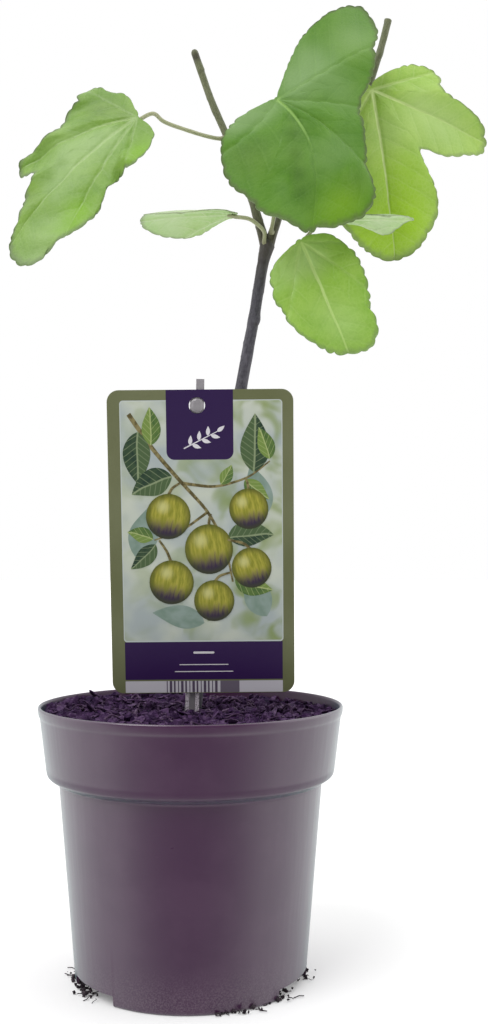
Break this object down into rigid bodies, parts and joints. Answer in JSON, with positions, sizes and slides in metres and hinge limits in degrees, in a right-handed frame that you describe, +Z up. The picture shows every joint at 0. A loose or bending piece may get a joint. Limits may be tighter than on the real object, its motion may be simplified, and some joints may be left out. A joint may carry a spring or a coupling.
{
  "type": "potted fig tree",
  "caption": "Young fig tree with lobed leaves on two shoots, growing in a round nursery pot with a plant label on a stake.",
  "frame": {"origin": "centre of the pot's flat underside, on the surface it stands on", "axes": "+Z up the plant, +X to the right and -Y towards the front, where the label stands"},
  "size_m": [0.2099, 0.13, 0.4282],
  "materials": {
    "pot": "thin thermoformed plum-grey nursery plastic with a soft satin gloss",
    "compost": "moist dark peat and bark compost, rough and crumbly",
    "bark": "smooth grey-purple young bark with fine ridges and leaf scars",
    "shoot_bark": "olive-brown green-wood bark with ringed nodes",
    "leaf_stalk": "pale green, smooth, slightly downy",
    "leaf_mature": "dark green rough leaf with a soft sheen and pale veins",
    "leaf_fresh": "bright yellow-green rough leaf with pale veins",
    "leaf_young": "pale downy green underside",
    "label_card": null,
    "label_stake": "clear moulded plastic strip"
  },
  "bodies": {
    "root": {"pot": "pot", "compost": "compost", "stem": "bark", "shoot_left": "shoot_bark", "shoot_right": "shoot_bark", "stalk_front": "leaf_stalk", "stalk_right": "leaf_stalk", "stalk_left": "leaf_stalk", "stalk_low": "leaf_stalk", "stalk_small_left": "leaf_stalk", "stalk_small_right": "leaf_stalk", "stalk_back": "leaf_stalk", "leaf_front": "leaf_mature", "leaf_back": "leaf_mature", "leaf_right": "leaf_fresh", "leaf_left": "leaf_fresh", "leaf_low": "leaf_fresh", "leaf_small_left": "leaf_young", "leaf_small_right": "leaf_young", "label_card": "label_card", "label_stake": "label_stake"}
  },
  "joints": []
}
